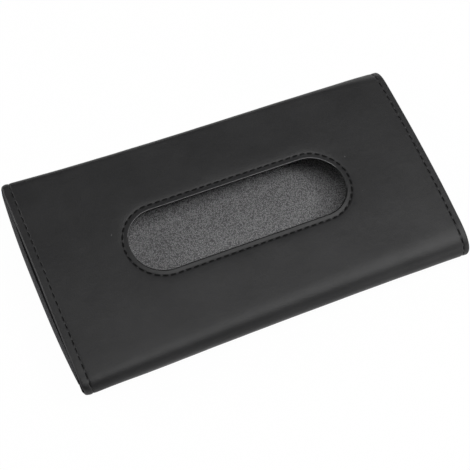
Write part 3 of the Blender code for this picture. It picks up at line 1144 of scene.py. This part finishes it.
make_row("slot_stitches", "slot_stitching",
         [(lambda share: slot_place(share, SLOT_ROW), SLOT_STITCHES)], "sleeve")
round_it = round((FAR_APEX - LIP_ROW) / PITCH)
SPLIT = LIP_ROW + round_it * PITCH
for side, x in (("left", LEFT_ROW), ("right", RIGHT_ROW)):
    make_row(side + "_end_stitches", side + "_end_stitching",
             [(straight((x, LIP_ROW), (x, SPLIT)), round_it)], "sleeve")
across = round((RIGHT_ROW - LEFT_ROW) / PITCH)
make_row("lip_edge_stitches", "lip_edge_stitching",
         [(straight((LEFT_ROW, LIP_ROW), (RIGHT_ROW, LIP_ROW)), across)], "sleeve")
down = round((FLAP_ROW - SPLIT) / PITCH)
LAST = SPLIT + down * PITCH
make_row("flap_edge_stitches", "flap_stitching",
         [(straight((LEFT_ROW, SPLIT), (LEFT_ROW, LAST)), down),
          (straight((LEFT_ROW, FLAP_ROW), (RIGHT_ROW, FLAP_ROW)), across),
          (straight((RIGHT_ROW, SPLIT), (RIGHT_ROW, LAST)), down)])

# %% [markdown]
# Two straps of woven elastic hold the sleeve on a car's sun visor. Each lies across the
# flap, free in its middle and sewn flat at its ends, so its grid dips by the height that
# the ends are pulled up. The strap has its own flat map along its length.

# %% Elastic straps
STRAP = 1.1 * MM
STRAP_LIFT = 0.35 * MM
SEWN = 7.5 * MM
FREE = 12 * MM
SELVEDGE = 0.9 * MM
SELVEDGE_THINNER = 0.3 * MM


def strap_lift(y, low, high):
    """How far a strap's ends are pulled up towards the flap."""
    edge = min(y - low, high - y)
    return STRAP_LIFT * (1 - ease(SEWN, FREE, edge))


for side in ("left", "right"):
    low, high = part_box("visor_strap_" + side)
    bm = flat_grid(stations(low.x, high.x, 2.5 * MM, (low.x, high.x)),
                   stations(low.y, high.y, 2 * MM, (low.y, high.y)))
    thicken(bm, STRAP, shown_up=False)
    keep_flat_map(bm)
    for vert in bm.verts:
        edge = min(vert.co.x - low.x, high.x - vert.co.x)
        thinner = SELVEDGE_THINNER * (1 - ease(0, SELVEDGE, edge))
        is_upper = vert.co.z > -0.5 * STRAP
        vert.co.z += STRAP + strap_lift(vert.co.y, low.y, high.y)
        vert.co.z -= thinner if is_upper else -thinner
    piece = finish_piece("elastic_strap_" + side, bm, (elastic, elastic), "back_flap")
    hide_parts("visor_strap_" + side)

# %% [markdown]
# Each strap end is held by a box of stitches with a cross in it, sewn through the strap
# and the flap. The stitches face down, so their up is the world's down.

# %% Boxes of stitches on the straps
BOX_Z = 0.3 * MM
BOX_PITCH = 3 * MM
CROSS_STITCHES = 6


def add_flat_row(bm, first, last, count):
    """Stitches along a straight line under a strap."""
    for number in range(count):
        start, end = (first.lerp(last, share) for share in ends_of(number, count))
        add_stitch(bm, start, end, Vector((0, 0, -1)))


for side in ("left", "right"):
    for end in ("near", "far"):
        node = f"strap_tack_{side}_{end}"
        low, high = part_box(node)
        corners = [Vector((x, y, BOX_Z)) for x, y in ((low.x, low.y), (high.x, low.y),
                                                      (high.x, high.y), (low.x, high.y))]
        bm = new_stitches()
        for number, corner in enumerate(corners):
            after = corners[(number + 1) % 4]
            add_flat_row(bm, corner, after, max(round((after - corner).length / BOX_PITCH), 1))
        add_flat_row(bm, corners[0], corners[2], CROSS_STITCHES)
        add_flat_row(bm, corners[1], corners[3], CROSS_STITCHES)
        piece = finish_piece(f"strap_stitches_{side}_{end}", bm, (thread,),
                             "back_flap", sharp=180)
        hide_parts(node)

# %% [markdown]
# The sleeve lies on a sheet of white paper whose rim is turned up all round, as in a
# photographer's studio, so that low views see white as well. To the eye and in
# reflections it glows almost fully white, which leaves only a trace of the sleeve's
# shadow, as in the photograph. Every other ray meets plain pale paper, so that the glow
# adds no diffuse light to the sleeve.

# %% Paper
def white_to_eye(tree):
    """1 for rays that show the background: straight, reflected or refracted."""
    rays = add_node(tree, "ShaderNodeLightPath", {})
    kinds = [Wire(tree, rays.outputs[kind])
             for kind in ("Is Camera Ray", "Is Glossy Ray", "Is Transmission Ray")]
    total = kinds[0] + kinds[1] + kinds[2]
    return total.math("MINIMUM", total, 1.0)


PAPER_RADIUS = 2.4
PAPER_BELOW = 0.1 * MM
RIM_OUT = 0.5
RIM_UP = 0.9
RIM_STEPS = 8
GLOW_SHARE = 0.98

bm = bmesh.new()
disc = bmesh.ops.create_circle(bm, segments=96, radius=PAPER_RADIUS, cap_ends=True,
                               matrix=Matrix.Translation((0, 0, -PAPER_BELOW)))["verts"]
for step in range(1, RIM_STEPS + 1):
    turn = step / RIM_STEPS * math.pi / 2
    reach = PAPER_RADIUS + RIM_OUT * math.sin(turn)
    lift = RIM_UP * (1 - math.cos(turn))
    disc = widen(bm, disc, lambda place: Vector((place.x, place.y, 0)).normalized() * reach
                 + Vector((0, 0, lift)))
bmesh.ops.recalc_face_normals(bm, faces=bm.faces)
mesh = bpy.data.meshes.new("floor")
bm.to_mesh(mesh)
bm.free()
mesh.shade_smooth()
floor = bpy.data.objects.new("floor", mesh)
scene.collection.objects.link(floor)
floor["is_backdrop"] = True
paper = bpy.data.materials.new("white_paper")
paper.use_nodes = True
tree = paper.node_tree
shader = tree.nodes["Principled BSDF"]
shader.inputs["Base Color"].default_value = (0.8, 0.8, 0.8, 1)
shader.inputs["Roughness"].default_value = 0.9
glow = add_node(tree, "ShaderNodeEmission", {}, Color=(1, 1, 1, 1), Strength=1.0)
both = add_node(tree, "ShaderNodeMixShader", {}, white_to_eye(tree) * GLOW_SHARE)
tree.links.new(shader.outputs[0], both.inputs[1])
tree.links.new(glow.outputs[0], both.inputs[2])
tree.links.new(both.outputs[0], tree.nodes["Material Output"].inputs["Surface"])
mesh.materials.append(paper)
print("paper ready")

# %% [markdown]
# A long soft lamp hangs overhead, a little to the right, and lights the front from above.
# A smaller one beside it and a weak low one, both on the near right, brighten that end of
# the near fold. One on the far left lights the cut edges of the left end, and a low one at
# the back the far fold. The world is a plain dim grey that fills the shadows.

# %% World and soft lamps
WORLD_LEVEL = 0.06
world = bpy.data.worlds.new("studio")
world.use_nodes = True
scene.world = world
background = world.node_tree.nodes["Background"]
background.inputs["Color"].default_value = (1, 1, 1, 1)
background.inputs["Strength"].default_value = WORLD_LEVEL


def soft_light(name, place, target, sides, power):
    """Oblong lamp at a place, turned to a target."""
    data = bpy.data.lights.new(name, "AREA")
    data.shape = "RECTANGLE"
    data.size, data.size_y = sides
    data.energy = power
    lamp = bpy.data.objects.new(name, data)
    lamp.location = place
    lamp.rotation_euler = (Vector(target) - Vector(place)).to_track_quat("-Z", "Y").to_euler()
    scene.collection.objects.link(lamp)


soft_light("overhead_softbox", (0.4, -0.1, 1.0), (0.4, -0.1, 0), (1.3, 0.55), 8.9)
soft_light("high_right_softbox", (0.72, -0.35, 1.0), (0.72, -0.35, 0), (0.3, 0.3), 5.0)
soft_light("low_right_softbox", (0.75, -0.9, 0.35), (0, 0, 0), (0.6, 0.6), 2.5)
soft_light("left_softbox", (-0.85, 0.5, 0.45), (0, 0, 0), (0.6, 0.5), 6.5)
soft_light("back_softbox", (0.6, 1.0, 0.28), (0, 0, 0), (1.0, 0.3), 1.4)
print("world and lamps ready")

# %% Sizes and finish
low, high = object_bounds()
print("dressed box, mm:", [round(1000 * side, 1) for side in high - low])
